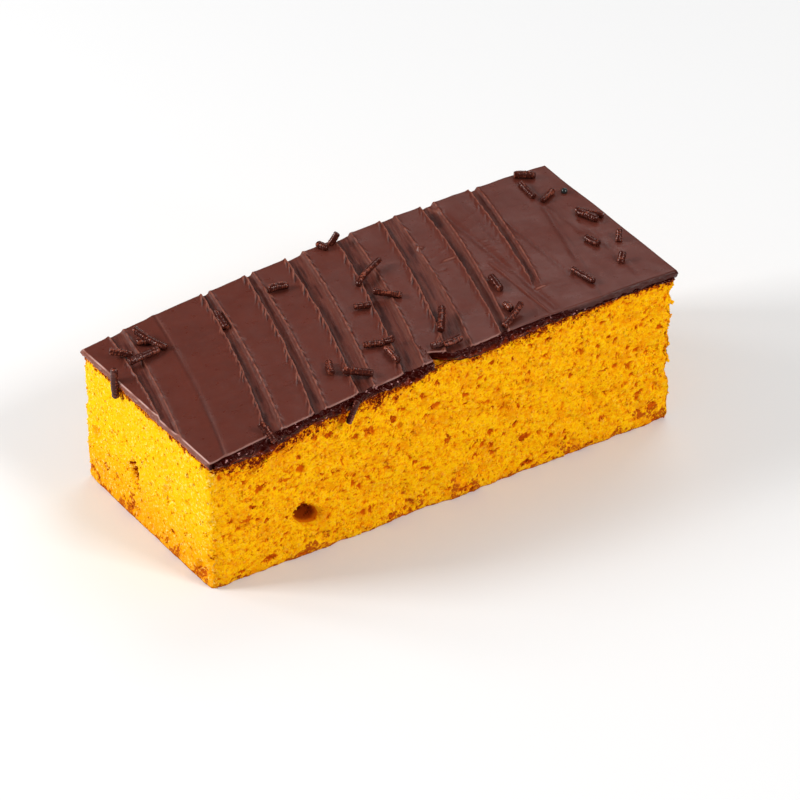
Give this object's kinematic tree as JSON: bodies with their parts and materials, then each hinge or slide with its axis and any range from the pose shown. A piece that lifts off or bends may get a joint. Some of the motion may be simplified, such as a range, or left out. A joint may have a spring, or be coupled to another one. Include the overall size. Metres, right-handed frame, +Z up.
{
  "type": "carrot cake",
  "caption": "Oblong slice of carrot cake: yellow sponge under a combed layer of dark chocolate icing strewn with chocolate sprinkles.",
  "frame": {"origin": "on the surface that the slice stands on, under the middle of its bounding box, sprinkles included", "axes": "+X along the slice to its higher end, -Y out of the long cut face that the picture shows, +Z up through the icing"},
  "size_m": [0.1531, 0.0671, 0.0526],
  "materials": {
    "sponge": "open yellow cake crumb, matte and soft, a little browned round the base",
    "icing": "set dark chocolate, satin on top and glossy where the knife dragged it over the front edge, with chocolate sprinkles of the same colour"
  },
  "bodies": {
    "root": {"sponge": "sponge", "icing": "icing"}
  },
  "joints": []
}
